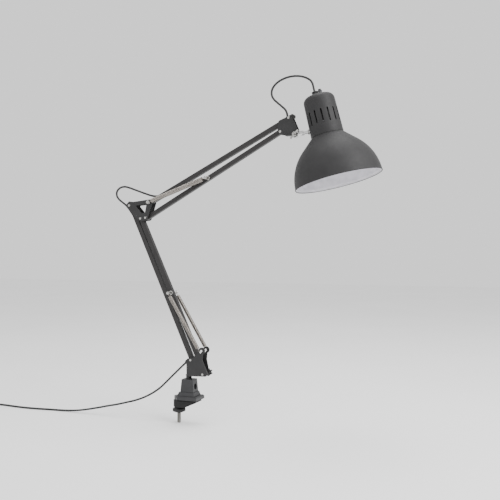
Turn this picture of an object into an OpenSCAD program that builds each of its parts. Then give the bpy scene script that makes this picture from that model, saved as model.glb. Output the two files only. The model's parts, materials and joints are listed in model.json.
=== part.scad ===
// Architect desk lamp on a table clamp, spring balanced, in millimetres.
// X points towards the lamp head in the plane of the arms, Z is up, and the
// origin is where the socket's axis meets the seat of the clamp's upper jaw.

/* [Clamp] */
// Width of the upper jaw across the table edge
jaw_w = 40; // [34:1:50]
// Height of the clamp's socket tower above the seat
tower_h = 42; // [38:1:50]
// Diameter of the mounting pin
pin_d = 12; // [10:0.5:12]
// Diameter of the socket bores
socket_d = 12.2; // [12.1:0.05:12.5]
// Length of threaded rod below the seat
rod_len = 50; // [46:1:60]
// Diameter of the threaded rod below the seat
rod_d = 7.8; // [6.8:0.1:7.8]
// Gap between the jaws as drawn
jaw_gap = 2.5; // [2.3:0.1:4]

/* [Arms] */
// Pivot to pivot length of the two lower bars
lower_len = 352; // [300:1:400]
// Lean of the lower arm back from upright, in degrees
lower_lean = 24.4; // [20:0.1:26]
// Pivot to pivot length of the upper arm's lower bar
upper_len = 341; // [300:1:400]
// Rise of the upper arm's lower bar, in degrees
upper_rise = 28.8; // [20:0.1:32]
// Height of a bar's side
bar_w = 9; // [8:0.5:9]
// Depth of a bar, front to back
bar_d = 9; // [8:0.5:9]
// Thickness of the bars' folded sheet
bar_wall = 1; // [0.8:0.1:1.2]
// Radius of the arm pins
arm_pin_r = 2; // [2:0.05:2.2]

/* [Brackets] */
// Half the outer width of the base bracket
base_half = 12; // [12:0.5:14]
// Half the outer width of the elbow plates
elbow_half = 9.5; // [9:0.5:10]
// Half the outer width of the head bracket
head_half = 7.5; // [7.5:0.5:9]
// Thickness of the bracket sheet
sheet = 1.5; // [1.2:0.1:1.5]

/* [Springs] */
// Outer diameter of the two springs on the lower arm
lower_spring_d = 8; // [7:0.5:8]
// Outer diameter of the spring on the upper arm
upper_spring_d = 9.6; // [8:0.2:9.6]
// Distance of the lower springs from the arms' plane
lower_spring_y = 18; // [17.5:0.5:20]
// Distance of the upper spring from the arms' plane
upper_spring_y = 15; // [15:0.5:17]

/* [Shade] */
// Diameter of the shade's mouth
mouth_d = 170; // [160:1:180]
// Radius of the curve of the dome's side
dome_arc = 95; // [90:1:105]
// Diameter of the vented neck
neck_d = 64; // [60:1:66]
// Height of the neck above the dome
neck_h = 80; // [75:1:85]
// Thickness of the shade's sheet
shade_wall = 1; // [0.8:0.1:1.2]
// Lean of the shade's axis, in degrees
shade_lean = 14; // [0:1:20]
// Number of vent slots round the neck
vents = 15; // [12:1:18]

/* [Cord] */
// Diameter of the mains cord
cord_d = 4.2; // [4:0.1:4.4]

/* [Hidden] */
$fn = 64;
clear = 0.05;

// Directions and points in the arms' plane are [x, z] pairs.
function heading(a) = [cos(a), sin(a)];
function left_of(v) = [-v.y, v.x];
function unit(v) = v / norm(v);

// Where the clamp's threaded rod stands, behind the socket.
rod_x = -22.6;
// Pivots of the lower arm: an exact parallelogram.
base_a = [8.8, 82.6];
lower_link = [27, -28];
base_b = base_a + lower_link;
lower_dir = heading(90 + lower_lean);
elbow_a = base_a + lower_len * lower_dir;
elbow_b = base_b + lower_len * lower_dir;
// Pivots of the upper arm: its bars close in towards the head.
elbow_c = elbow_b + [11.9, 1.4];
elbow_d = elbow_c + [10.6, 31.9];
upper_dir = heading(upper_rise);
head_l = elbow_c + upper_len * upper_dir;
head_t = head_l + [17.3, 26];
// Pivot of the head's tilt and direction of the shade's rod.
tilt = head_l + [30, -7];
rod_dir = heading(8);
// Length of the joint's knuckle, and where the shade's rod starts and ends.
knuckle_len = 15;
rod_start = 8;
rod_end = 34;
// How far a bar's centreline leaves its pivot line at each end.
toe = 0.8;
// Spring anchors, and the length of a spring's wire beyond its coils.
hook_len = 8;
hook_pin_r = 1.8;
ear_slot = [32.5, 101];
lower_anchor = base_b + 181 * lower_dir;
upper_anchor = elbow_c + 163 * upper_dir;
// Foot of the shade's axis, in the plane of its mouth.
mouth = tilt + [86.3, -93.6];
dome_turn = 46;
dome_top = 91.5;
neck_top = dome_top + neck_h;
holder_r = 19;
holder_bottom = 118;
holder_top = 163;
// Foot and top of the vent slots.
vent_z0 = 112;
vent_z1 = 139;
gland_x = -4.6;
switch_x = 6;
gland_h = 10;
shade_up = heading(90 + shade_lean);
gland_tip = mouth + (neck_top + gland_h) * shade_up - gland_x * left_of(shade_up);
// Level of the surface that the free cord lies on.
floor_z = -rod_len;
cord_r = cord_d / 2;
lie_z = floor_z + cord_r;
plug_h = 14;
plug_z = floor_z + plug_h / 2;
plug_at = [-531, -82, plug_z];
grip = [-3, 78.5];
grip_dir = heading(222.7);
// The coil: four turns in each of two layers, joined at the outermost turn.
coil_inner = 19.2;
coil_outer = coil_inner + 3 * cord_d;
coil_at = [-526, -coil_outer];

// ---- shared shapes ----

// Extrudes an [x, z] outline from y0 to y1.
module slab(y0, y1) {
    translate([0, y1, 0]) rotate([90, 0, 0]) linear_extrude(y1 - y0) children();
}

// A cylinder along Y at an [x, z] point.
module rod_y(p, r, y0, y1) {
    translate([p.x, y0, p.y]) rotate([-90, 0, 0]) cylinder(r = r, h = y1 - y0);
}

// A tube along Y.
module tube_y(p, r, bore, y0, y1) {
    difference() {
        rod_y(p, r, y0, y1);
        rod_y(p, bore, y0 - 1, y1 + 1);
    }
}

// A pair of tubes, one on each side of the arms' plane.
module spacer_pair(p, r, y0, y1) {
    tube_y(p, r, arm_pin_r, y0, y1);
    tube_y(p, r, arm_pin_r, -y1, -y0);
}

// An outline whose corners are round, given the centres of its corners.
module rounded(points, r) {
    offset(r = r, $fn = 32) polygon(points);
}

// A round-ended slot outline.
module slot(p, a, length, width) {
    translate(p) rotate(a) {
        square([length - width, width], center = true);
        for (s = [-1, 1]) translate([s * (length - width) / 2, 0]) circle(width / 2);
    }
}

// Puts local +X along the direction from p to q, starting at p.
module along(p, q) {
    translate([p.x, 0, p.y]) rotate([0, -atan2(q.y - p.y, q.x - p.x), 0]) children();
}

// A headed pin along Y.
module rivet(p, r, half) {
    rod_y(p, r, -half, half);
    for (s = [-1, 1])
        translate([p.x, s * half, p.y]) rotate([-90 * s, 0, 0]) {
            cylinder(r = 2.9, h = 0.7);
            translate([0, 0, 0.7]) cylinder(r = 2.1, h = 0.5);
        }
}

// A U-channel bar between pivots p and q, open on the left of p to q.
// shift moves the centreline off the pivots at each end, ends says how far it
// runs past each pivot, and bores gives each pivot's bore radius.
module channel_bar(p, q, shift, ends, bores) {
    n = left_of(unit(q - p));
    c0 = p + shift[0] * n;
    c1 = q + shift[1] * n;
    len = norm(c1 - c0);
    r = bar_w / 2;
    x0 = r - ends[0];
    x1 = len + ends[1] - r;
    difference() {
        along(c0, c1) difference() {
            union() {
                translate([x0, -bar_d / 2, -r]) cube([x1 - x0, bar_d, bar_w]);
                for (x = [x0, x1]) rod_y([x, 0], r, -bar_d / 2, bar_d / 2);
            }
            translate([-ends[0] - 1, -bar_d / 2 + bar_wall, -r + bar_wall])
                cube([len + ends[0] + ends[1] + 2, bar_d - 2 * bar_wall, bar_w]);
        }
        rod_y(p, bores[0], -bar_d, bar_d);
        rod_y(q, bores[1], -bar_d, bar_d);
    }
}

// A plain closed tube of radius r with the given ring centres: [x, y, z].
// Its ends are trimmed a little, so that it meets the next tube without a clash.
end_gap = 0.15;
function trimmed(c) = [for (i = [0 : len(c) - 1])
    i == 0 ? c[0] + end_gap * unit(c[1] - c[0])
    : i == len(c) - 1 ? c[i] - end_gap * unit(c[i] - c[i - 1])
    : c[i]];
function ring_dir(c, i) = unit(c[min(i + 1, len(c) - 1)] - c[max(i - 1, 0)]);
function ring(c, i, r, sides) =
    let (t = ring_dir(c, i), s = unit(cross(t, [0, 1, 0])), u = cross(s, t))
    [for (k = [0 : sides - 1]) c[i] + r * (cos(360 * k / sides) * s + sin(360 * k / sides) * u)];
module cord_tube(route, r = cord_r, sides = 10) {
    c = trimmed(route);
    n = len(c);
    rings = [for (i = [0 : n - 1]) each ring(c, i, r, sides)];
    walls = [for (i = [0 : n - 2], k = [0 : sides - 1])
        let (a = i * sides + k, b = i * sides + (k + 1) % sides)
        [a, b, b + sides, a + sides]];
    polyhedron(rings, concat([[for (k = [sides - 1 : -1 : 0]) k]], walls,
        [[for (k = [0 : sides - 1]) (n - 1) * sides + k]]), convexity = 6);
}

// One more point between each two of a route, on a smooth curve.
function smooth(c) = [for (i = [0 : len(c) - 2])
    let (a = c[max(i - 1, 0)], b = c[i], d = c[i + 1], e = c[min(i + 2, len(c) - 1)])
    each [b, (9 * (b + d) - a - e) / 16], c[len(c) - 1]];

// ---- routes of the cord, [x, z] where it stays in the arms' plane ----
function lift(route) = [for (p = route) [p.x, 0, p.y]];
// A point in a bar's channel: distance along from p, and out from the line p to q.
function in_bar(p, q, s, out) = p + s * unit(q - p) + out * left_of(unit(q - p));

elbow_upper_route = [
    in_bar(elbow_d, head_t, 46, 1.4), in_bar(elbow_d, head_t, 40, 1.5), in_bar(elbow_d, head_t, 34, 2),
    [-65, 423.4], [-75, 421.6], [-87, 423.2], [-100, 427.2], [-114, 432], [-128, 437],
    [-141, 441.5], [-152, 444], [-162, 442.5], [-169, 437.8], [-171.9, 431.8]];
elbow_lower_route = [
    [-172.1, 430.2], [-171, 423.5], [-165.6, 416.6], [-157.6, 410.6], [-149.6, 404.6], [-142.4, 397],
    [-135.4, 388], [-129, 378.6], in_bar(elbow_a, base_a, 36, -1.6)];
head_rear_route = [
    in_bar(elbow_d, head_t, 342, 4.6) + [-0.2, 1.1], [213.2, 577.2], [209.5, 584.6],
    [202.4, 591.4], [194, 598.8],
    [186.4, 606], [181.8, 614.6], [182, 624.6], [187, 633.2], [195, 640], [205, 644.8]];
head_front_route = [
    [205, 644.8], [215, 647.6], [226, 648.8], [238, 648], [250, 644.6], [260.4, 638.4], [265.4, 630.8],
    gland_tip + [-1.6, 8], gland_tip];
mains_route = [
    [-6, 0, 75.8], [-14, 0, 68.5], [-22, 0, 61], [-30, 0, 53.5], [-38, 0, 46], [-51, 0, 33.5],
    [-65, 0, 20.5], [-75, 0, 13], [-85, 0, 6.5], [-97, 0, 0], [-110, 0, -6], [-128, 0, -12.5],
    [-146, 0, -17.5], [-171, 0, -24], [-196, 0, -29.5], [-222, 0, -35.5], [-248, 0, -41],
    [-272, 0, -45], [-296, 0, -47.2], [-320, -1, lie_z], [-345, -3, lie_z], [-375, -6, lie_z],
    [-405, -7, lie_z], [-435, -5, lie_z], [-462, -1.5, lie_z], [-485, 0, lie_z], [-508.9, 0, lie_z]];
tail_route = [
    [-556.2, -53, -45.9], [-556, -65, -47.2], [-554.7, -71.5, -46.8], [-551, -77, -45.7],
    [-545.5, -80.7, -44.2], [-539, -82, -43.1], plug_at];

// ---- the clamp ----

module block(x, y, w, d, z, h) {
    translate([x - w / 2, y - d / 2, z]) cube([w, d, h]);
}

module clamp_upper_jaw() {
    color("#4b4b4e") difference() {
        union() {
            hull() {
                block(4, 0, 44, jaw_w, 0, 6);
                block(4, 0, 40, jaw_w - 4, 6, 2);
                translate([rod_x, 0, 0]) cylinder(r = 10, h = 6, $fn = 32);
            }
            hull() {
                block(0, 0, 38, 32, 8, 1);
                block(0.5, 0, 33, 28, 15, 1);
            }
            hull() {
                block(1, 0, 29, 25, 16, 1);
                block(1, 0, 25.5, 21, tower_h - 1, 1);
            }
        }
        translate([0, 0, tower_h - 31]) cylinder(d = socket_d, h = 40);
        translate([0, 0, 27]) rotate([0, 90, 0]) cylinder(d = socket_d, h = 40);
        translate([rod_x, 0, -1]) cylinder(d = rod_d, h = 6);
    }
}

module clamp_rod() {
    color("#8f8f8a") translate([rod_x, 0, -rod_len]) cylinder(d = rod_d, h = rod_len + 5);
}

module clamp_lower_jaw() {
    top = -jaw_gap;
    boss_h = 13.7;
    color("#1d1d1f") difference() {
        union() {
            translate([rod_x, 0, top - boss_h]) cylinder(r = 11.5, h = boss_h);
            slab(-15, 15) polygon([[rod_x, top], [22, top], [22, top - 1.8], [-4, top - boss_h],
                [rod_x, top - boss_h]]);
        }
        translate([rod_x, 0, top - 20]) cylinder(d = rod_d + 0.7, h = 30);
        slab(-11.5, 11.5) polygon([[-8, top - 3], [8, top - 3], [8, top - 4.6],
            [-3, top - 10], [-8, top - 10]]);
    }
}

module clamp_knob() {
    top = -jaw_gap - 14;
    color("#202022") difference() {
        union() {
            translate([rod_x, 0, top - 3]) cylinder(r = 10.5, h = 3);
            translate([rod_x, 0, top - 10]) cylinder(r = 12, h = 7);
            for (i = [0 : 11])
                translate([rod_x, 0, top - 10]) rotate(30 * i) translate([11.6, 0, 0])
                    cylinder(r = 1.8, h = 7);
            translate([rod_x, 0, top - 12]) cylinder(r = 9, h = 2);
        }
        translate([rod_x, 0, top - 20]) cylinder(d = rod_d + 0.1, h = 30);
    }
}

// ---- the base bracket ----

// front is how far its lower corner reaches towards the lamp head.
module base_cheek(front) {
    difference() {
        union() {
            rounded([[5, 54.5], [5, 76], base_a, [20, 83.5], [32.5, 100], [30.5, 83], [front, 55.5]], 5);
            translate([0, 49.5]) square([12, 26]);
            translate([34.5, 102.5]) circle(7);
        }
        slot(ear_slot, 55, 8, 4.6);
        for (p = [base_a, base_b]) translate(p) circle(arm_pin_r);
    }
}

module base_bracket() {
    inner = base_half - 1.6;
    color("#3e3e41") difference() {
        union() {
            slab(-base_half, -inner) base_cheek(41.5);
            slab(inner, base_half) base_cheek(36.5);
            translate([0, -inner, 49.5]) cube([1.6, 2 * inner, 22.5]);
            translate([0, -inner, 49.5]) cube([24, 2 * inner, 1.6]);
            translate([0, 0, 49.5]) cylinder(r = 6.6, h = 1.6);
        }
        translate([0, 0, 45]) cylinder(r = 3, h = 10);
    }
}

module mounting_pin() {
    color("#3a3a3c") difference() {
        union() {
            translate([0, 0, tower_h - 29.5]) cylinder(r = pin_d / 2, h = 79 - tower_h);
            translate([0, 0, tower_h - 30.95]) cylinder(r = pin_d / 2 - 1, h = 1.45);
            translate([0, 0, 49.5]) cylinder(r = 3, h = 3.4);
        }
        translate([0, 0, 45.6]) rotate([0, 90, -36]) cylinder(r = 2.4, h = 10);
    }
}

module base_pivot_bolts() {
    color("#b9b9b6") {
        rivet(base_a, arm_pin_r, base_half);
        rod_y(base_b, arm_pin_r, -base_half, 21);
        rod_y(base_b, 2.9, -base_half - 1.2, -base_half);
    }
}

module base_spacers() {
    inner = base_half - 1.6;
    color("#2a2a2b") for (p = [base_a, base_b]) spacer_pair(p, 4, bar_d / 2 + 0.2, inner);
}

module base_tension_knob() {
    y0 = base_half + 0.4;
    color("#161617") difference() {
        union() {
            rod_y(base_b, 5, y0, y0 + 11);
            slab(y0 + 3, y0 + 11) for (a = [35 : 60 : 335]) hub_lobe(a);
        }
        rod_y(base_b, arm_pin_r + clear, y0 - 1, y0 + 9);
    }
}

module hub_lobe(a) {
    translate(base_b) rotate(a) {
        translate([0, -1.9]) square([5.8, 3.8]);
        translate([5.8, 0]) circle(1.9);
    }
}

module cord_grip() {
    color("#1b1b1c") difference() {
        union() {
            along(grip, grip + grip_dir) translate([-4, 0, 0]) rotate([0, 90, 0]) cylinder(r = 3.8, h = 8);
            translate([-1.4, -5, 72]) cube([3.6, 10, 4]);
        }
        along(grip, grip + grip_dir) translate([-10, 0, 0]) rotate([0, 90, 0]) cylinder(r = cord_r, h = 14);
    }
}

// ---- the lower arm ----

module lower_main_bar() {
    color("#454548")
        channel_bar(base_a, elbow_a, [toe, -toe], [6, 9], [arm_pin_r + clear, arm_pin_r + clear]);
}

module lower_follower_bar() {
    color("#454548") difference() {
        channel_bar(base_b, elbow_b, [-toe, toe], [5.4, 6], [arm_pin_r + clear, arm_pin_r + 0.15]);
        rod_y(lower_anchor, hook_pin_r, -bar_d, bar_d);
    }
}

module lower_spring_pin() {
    end = lower_spring_y + 3;
    color("#c4c4c0") {
        rod_y(lower_anchor, hook_pin_r, -end, end);
        for (s = [-1, 1]) rod_y(lower_anchor, 3.2, s * end - 0.8, s * end + 0.8);
    }
}

// Envelope of a coil spring from p to q, with the wire of its first end.
module spring_body(p, q, y, r) {
    len = norm(q - p);
    translate([0, y, 0]) along(p, q) rotate([0, 90, 0]) {
        translate([0, 0, hook_len]) difference() {
            cylinder(r = r, h = len - 2 * hook_len);
            translate([0, 0, 2]) cylinder(r = r - 1.4, h = len);
        }
        translate([0, 0, 1]) cylinder(r = 1.1, h = hook_len - 1);
    }
}

// The wire of a spring's second end, with its eye round the pin at q.
module spring_hook(p, q, y) {
    len = norm(q - p);
    difference() {
        union() {
            translate([0, y, 0]) along(p, q) translate([len - hook_len + 0.1, 0, 0]) rotate([0, 90, 0])
                cylinder(r = 1.1, h = hook_len - 2);
            rod_y(q, 3.1, y - 0.8, y + 0.8);
        }
        rod_y(q, hook_pin_r + clear, y - 4, y + 4);
    }
}

// A lower spring hooks sideways into the slot of the bracket's ear.
module lower_spring(side) {
    y = side * lower_spring_y;
    tip = side * (base_half - 2.4);
    color("#a8a39c") {
        spring_body(ear_slot, lower_anchor, y, lower_spring_d / 2);
        rod_y(ear_slot, 1.1, min(y, tip), max(y, tip));
    }
}

module lower_spring_near() {
    lower_spring(-1);
}

module lower_spring_far() {
    lower_spring(1);
}

module lower_spring_hooks() {
    color("#c4c0b8") for (s = [-1, 1]) spring_hook(ear_slot, lower_anchor, s * lower_spring_y);
}

// ---- the elbow ----

module elbow_outline() {
    difference() {
        rounded([elbow_a, elbow_d, elbow_c, elbow_b], 6.2);
        rounded([[-118, 401.4], [-96.2, 403.6], [-99.4, 388], [-106, 387.6]], 1.5);
        for (p = [elbow_a, elbow_b, elbow_c, elbow_d]) translate(p) circle(arm_pin_r);
    }
}

module elbow_plate_near() {
    color("#3c3c3f") slab(-elbow_half, -elbow_half + sheet) elbow_outline();
}

module elbow_plate_far() {
    color("#3c3c3f") slab(elbow_half - sheet, elbow_half) elbow_outline();
}

module elbow_pins() {
    end = upper_spring_y + 4;
    color("#c4c4c0") {
        for (p = [elbow_a, elbow_b, elbow_c]) rivet(p, arm_pin_r, elbow_half);
        rod_y(elbow_d, arm_pin_r, -end, elbow_half);
        rod_y(elbow_d, 2.9, elbow_half, elbow_half + 1.2);
        rod_y(elbow_d, 3.4, -end - 1.2, -end);
    }
}

module elbow_spacers() {
    color("#2a2a2b") for (p = [elbow_a, elbow_b, elbow_c, elbow_d])
        spacer_pair(p, 4, bar_d / 2 + 0.2, elbow_half - sheet);
}

// ---- the upper arm ----

module upper_lower_bar() {
    color("#454548") difference() {
        channel_bar(elbow_c, head_l, [-toe, toe], [5.5, 6], [arm_pin_r + clear, arm_pin_r + clear]);
        rod_y(upper_anchor, hook_pin_r, -bar_d, bar_d);
    }
}

module upper_top_bar() {
    open_r = arm_pin_r + 1.3;
    color("#454548") channel_bar(elbow_d, head_t, [toe, -toe], [8, 12], [arm_pin_r + clear, open_r]);
}

module upper_spring_pin() {
    end = upper_spring_y + 4;
    color("#c4c4c0") {
        rod_y(upper_anchor, hook_pin_r, -end, bar_d / 2);
        rod_y(upper_anchor, 3, bar_d / 2, bar_d / 2 + 1.2);
        rod_y(upper_anchor, 3.2, -end - 1.2, -end);
    }
}

module upper_spring() {
    color("#b3afa7") difference() {
        union() {
            spring_body(elbow_d, upper_anchor, -upper_spring_y, upper_spring_d / 2);
            rod_y(elbow_d, 3.3, -upper_spring_y - 0.8, -upper_spring_y + 0.8);
        }
        rod_y(elbow_d, arm_pin_r + clear, -upper_spring_y - 2, -upper_spring_y + 2);
    }
}

module upper_spring_hook() {
    color("#c4c0b8") spring_hook(elbow_d, upper_anchor, -upper_spring_y);
}

// ---- the head bracket ----

module head_outline() {
    difference() {
        rounded([head_l, head_l + [1.5, 17.5], head_l + [17.5, 23.5], head_l + [21.5, 22.5],
            tilt + [0, 10], tilt + [0, 3.5], tilt + [-9.5, 3.5]], 5);
        for (p = [head_l, head_t, tilt]) translate(p) circle(arm_pin_r);
    }
}

module head_bracket() {
    web_z = tilt.y - 1.5;
    color("#3e3e41") {
        slab(-head_half, -head_half + sheet) head_outline();
        slab(head_half - sheet, head_half) head_outline();
        translate([tilt.x - 20, -head_half + sheet, web_z]) cube([12, 2 * (head_half - sheet), sheet]);
    }
}

module head_pins() {
    color("#c4c4c0") for (p = [head_l, head_t]) rivet(p, arm_pin_r, head_half);
}

module head_spacers() {
    color("#2a2a2b") for (p = [head_l, head_t]) spacer_pair(p, 3.6, bar_d / 2 + 0.2, head_half - sheet);
}

module tilt_bolt() {
    color("#c9c9c7") {
        rod_y(tilt, arm_pin_r, -head_half - 7, head_half);
        rod_y(tilt, 4.4, head_half, head_half + 2.6);
    }
}

module tilt_washer() {
    color("#d0d0ce") tube_y(tilt, 4.6, arm_pin_r, -head_half - 0.8, -head_half);
}

module wing_nut() {
    y0 = -head_half - 6;
    y1 = -head_half - 1;
    color("#cfcfcd") difference() {
        union() {
            rod_y(tilt, 4.2, y0, y1);
            slab(y0 - 2.5, y0 + 2) for (a = [-125, 35]) wing(a);
        }
        rod_y(tilt, arm_pin_r + clear, y0 - 5, y1 + 1);
    }
}

module wing(a) {
    translate(tilt) rotate(a) {
        translate([2.6, -1]) square([6.4, 2]);
        translate([9.6, 0]) circle(2.4);
    }
}

// ---- the joint that carries the shade ----

module on_rod() {
    along(tilt, tilt + rod_dir) rotate([0, 90, 0]) children();
}

module head_knuckle() {
    color("#d5d5d3") difference() {
        union() {
            rod_y(tilt, 6.4, -5.8, 5.8);
            on_rod() translate([0, 0, 3]) cylinder(r = 5.2, h = knuckle_len - 3);
        }
        rod_y(tilt, arm_pin_r + clear, -8, 8);
        on_rod() translate([0, 0, rod_start - 0.2]) cylinder(r = 3 + clear, h = 20);
    }
}

module shade_rod() {
    color("#d5d5d3") {
        on_rod() translate([0, 0, rod_start]) cylinder(r = 3, h = rod_end - rod_start);
        on_rod() translate([0, 0, knuckle_len + 0.3]) cylinder(r = 4.6, h = 2);
    }
}

// Nuts on the rod, one on each side of the neck's wall.
module shade_rod_nuts() {
    color("#c9c9c7") for (s = [26, 32])
        on_rod() translate([0, 0, s]) difference() {
            cylinder(r = 5.2, h = 2, $fn = 6);
            translate([0, 0, -1]) cylinder(r = 3, h = 4);
        }
}

// ---- the shade, in a frame whose +Z is the shade's axis ----

module on_shade() {
    translate([mouth.x, 0, mouth.y]) rotate([0, -shade_lean, 0]) children();
}

// Outer [r, z] profile of the dome for a given wall offset.
function dome_profile(inset) = concat(
    [for (a = [0 : 4.6 : dome_turn]) [mouth_d / 2 - dome_arc + (dome_arc - inset) * cos(a),
        (dome_arc - inset) * sin(a)]],
    [[neck_d / 2 - 0.4 - inset, dome_top - inset * 0.2]]);

module shade_dome() {
    outer = dome_profile(0);
    inner = dome_profile(shade_wall);
    color("#434346") on_shade() rotate_extrude($fn = 96)
        polygon(concat(outer, [[neck_d / 2 - 8, dome_top], [neck_d / 2 - 8, dome_top - shade_wall]],
            [for (i = [len(inner) - 1 : -1 : 0]) inner[i]]));
}

module shade_neck() {
    r0 = neck_d / 2;
    r1 = r0 - 1.4;
    round_r = 12;
    z0 = dome_top + 0.05;
    z1 = neck_top;
    color("#434346") difference() {
        on_shade() difference() {
            rotate_extrude($fn = 96) polygon(concat(
                [[r0, z0], [r0, z0 + 3], [r1, z1 - round_r]],
                [for (a = [15 : 15 : 90])
                    [r1 - round_r + round_r * cos(a), z1 - round_r + round_r * sin(a)]],
                [[0, z1], [0, z1 - shade_wall]],
                [for (a = [90 : -15 : 0]) [r1 - round_r + (round_r - shade_wall) * cos(a),
                    z1 - round_r + (round_r - shade_wall) * sin(a)]],
                [[r0 - shade_wall, z0 + 3], [r0 - shade_wall, z0]]));
            for (i = [0 : vents - 1]) rotate(-55 + 360 / vents * i) vent();
            translate([gland_x, 0, z1 - 5]) cylinder(r = 5, h = 10);
            translate([switch_x, 0, z1 - 5]) cylinder(r = 4, h = 10);
        }
        on_rod() translate([0, 0, 20]) cylinder(r = 3, h = 20);
    }
}

module vent() {
    translate([neck_d / 2 - 6, -1.5, vent_z0 + 1.5]) cube([12, 3, vent_z1 - vent_z0 - 3]);
    for (z = [vent_z0 + 1.5, vent_z1 - 1.5])
        translate([neck_d / 2 - 6, 0, z]) rotate([0, 90, 0]) cylinder(r = 1.5, h = 12);
}

module lampholder() {
    color("#1c1c1e") on_shade() difference() {
        union() {
            translate([0, 0, holder_bottom]) cylinder(r = holder_r, h = 24);
            translate([0, 0, holder_bottom + 24]) cylinder(r1 = holder_r, r2 = 14, h = 8);
            translate([0, 0, holder_bottom + 32]) cylinder(r = 14, h = holder_top - holder_bottom - 32);
        }
        translate([0, 0, holder_bottom - 1]) cylinder(r = 13.4, h = 30);
    }
}

// Threaded nipple that hangs the lampholder from the top of the neck.
module holder_nipple() {
    color("#b9b9b6") on_shade() translate([gland_x, 0, 0]) difference() {
        translate([0, 0, holder_top]) cylinder(r = 5, h = neck_top - holder_top);
        translate([0, 0, holder_top - 1]) cylinder(r = cord_r + 0.4, h = 20);
    }
}

module cord_gland() {
    color("#77777a") on_shade() translate([gland_x, 0, neck_top]) difference() {
        union() {
            cylinder(r = 6, h = 7);
            translate([0, 0, 7]) cylinder(r1 = 5.4, r2 = 3.6, h = gland_h - 7);
        }
        translate([0, 0, -1]) cylinder(r = cord_r, h = 20);
    }
}

module switch_housing() {
    color("#4a4a4d") on_shade() translate([switch_x, 0, 0]) difference() {
        union() {
            translate([0, 0, holder_top + 0.6]) cylinder(r = 4, h = neck_top - holder_top - 0.6);
            translate([0, 0, neck_top]) cylinder(r = 4.4, h = 8.5);
        }
        translate([0, 0, neck_top - 4]) cylinder(r = 3.2, h = 20);
    }
}

module switch_button() {
    color("#222223") on_shade() translate([switch_x, 0, neck_top - 1]) {
        cylinder(r = 3.1, h = 12);
        translate([0, 0, 12]) cylinder(r1 = 3.1, r2 = 2.3, h = 0.8);
    }
}

// ---- the cord ----

module cord_in_lower_arm() {
    route = [for (s = [36, lower_len - 38]) in_bar(elbow_a, base_a, s, -1.6)];
    color("#141415") cord_tube(lift(route));
}

module cord_in_upper_arm() {
    steps = [[46, 1.4], [312, 1.4], [324, 1.7], [332, 2.3], [337.5, 3.2], [340.3, 4.05]];
    color("#141415") cord_tube(lift([for (p = steps) in_bar(elbow_d, head_t, p[0], p[1])]));
}

// Leaves the lower bar's channel on a bend and enters the grip.
module cord_base_link() {
    bend_r = 8;
    bend = [for (a = [0 : 12 : 72]) [10.5 - bend_r * sin(a), 1.6 + bend_r * (1 - cos(a))]];
    route = [for (p = concat([[38, 1.6], [24, 1.6]], bend)) in_bar(base_a, elbow_a, p[0], p[1])];
    color("#141415") cord_tube(lift(concat(route, [grip - 4 * grip_dir])));
}

module elbow_loop_upper() {
    color("#141415") cord_tube(smooth(lift(elbow_upper_route)));
}

module elbow_loop_lower() {
    color("#141415") cord_tube(smooth(lift(elbow_lower_route)));
}

module head_loop_rear() {
    color("#141415") cord_tube(smooth(lift(head_rear_route)));
}

module head_loop_front() {
    color("#141415") cord_tube(smooth(lift(head_front_route)));
}

module mains_cord() {
    color("#141415") cord_tube(smooth(mains_route));
}

module cord_tail() {
    color("#141415") cord_tube(smooth(tail_route));
}

module cord_coil() {
    r0 = coil_inner - cord_r;
    r1 = coil_outer + cord_r;
    color("#141415") translate([coil_at.x, coil_at.y, floor_z]) rotate_extrude($fn = 64)
        polygon([[r0, 1], [r0 + 1, 0], [r1 - 1, 0], [r1, 1], [r1, 2 * cord_d - 1], [r1 - 1, 2 * cord_d],
            [r0 + 1, 2 * cord_d], [r0, 2 * cord_d - 1]]);
}

// A strap round the coil's winding, on its far side from the lamp.
module coil_tie() {
    r0 = coil_inner - cord_r;
    r1 = coil_outer + cord_r;
    h = 2 * cord_d;
    color("#2b2b2c") translate([coil_at.x, coil_at.y, floor_z]) rotate(125) difference() {
        translate([r0 - 1.6, -3, 0]) cube([r1 - r0 + 2.9, 6, h + 1.3]);
        translate([r0 - 0.4, -4, -1]) cube([r1 - r0 + 0.5, 8, h + 1.1]);
    }
}

module plug_body() {
    color("#19191a") translate([plug_at.x, plug_at.y, floor_z]) difference() {
        union() {
            translate([8, -13, 0]) cube([25, 26, plug_h]);
            translate([0, 0, plug_h / 2]) rotate([0, 90, 0]) cylinder(r1 = 3.6, r2 = 6.6, h = 9);
        }
        for (s = [-9.5, 9.5]) translate([24, s, plug_h / 2]) rotate([0, 90, 0]) cylinder(r = 2, h = 20);
    }
}

module plug_pins() {
    color("#cfcdc6") for (s = [-9.5, 9.5])
        translate([plug_at.x + 24, plug_at.y + s, floor_z + plug_h / 2]) rotate([0, 90, 0]) {
            cylinder(r = 2, h = 27);
            translate([0, 0, 27]) cylinder(r1 = 2, r2 = 1.2, h = 1);
        }
}

clamp_upper_jaw();
clamp_rod();
clamp_lower_jaw();
clamp_knob();
mounting_pin();
base_bracket();
base_pivot_bolts();
base_spacers();
base_tension_knob();
cord_grip();
lower_main_bar();
lower_follower_bar();
lower_spring_pin();
lower_spring_near();
lower_spring_far();
lower_spring_hooks();
elbow_plate_near();
elbow_plate_far();
elbow_pins();
elbow_spacers();
upper_lower_bar();
upper_top_bar();
upper_spring_pin();
upper_spring();
upper_spring_hook();
head_bracket();
head_pins();
head_spacers();
tilt_bolt();
tilt_washer();
wing_nut();
head_knuckle();
shade_rod();
shade_rod_nuts();
shade_dome();
shade_neck();
lampholder();
holder_nipple();
cord_gland();
switch_housing();
switch_button();
cord_in_lower_arm();
cord_in_upper_arm();
cord_base_link();
elbow_loop_upper();
elbow_loop_lower();
head_loop_rear();
head_loop_front();
mains_cord();
cord_coil();
coil_tie();
cord_tail();
plug_body();
plug_pins();
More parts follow.
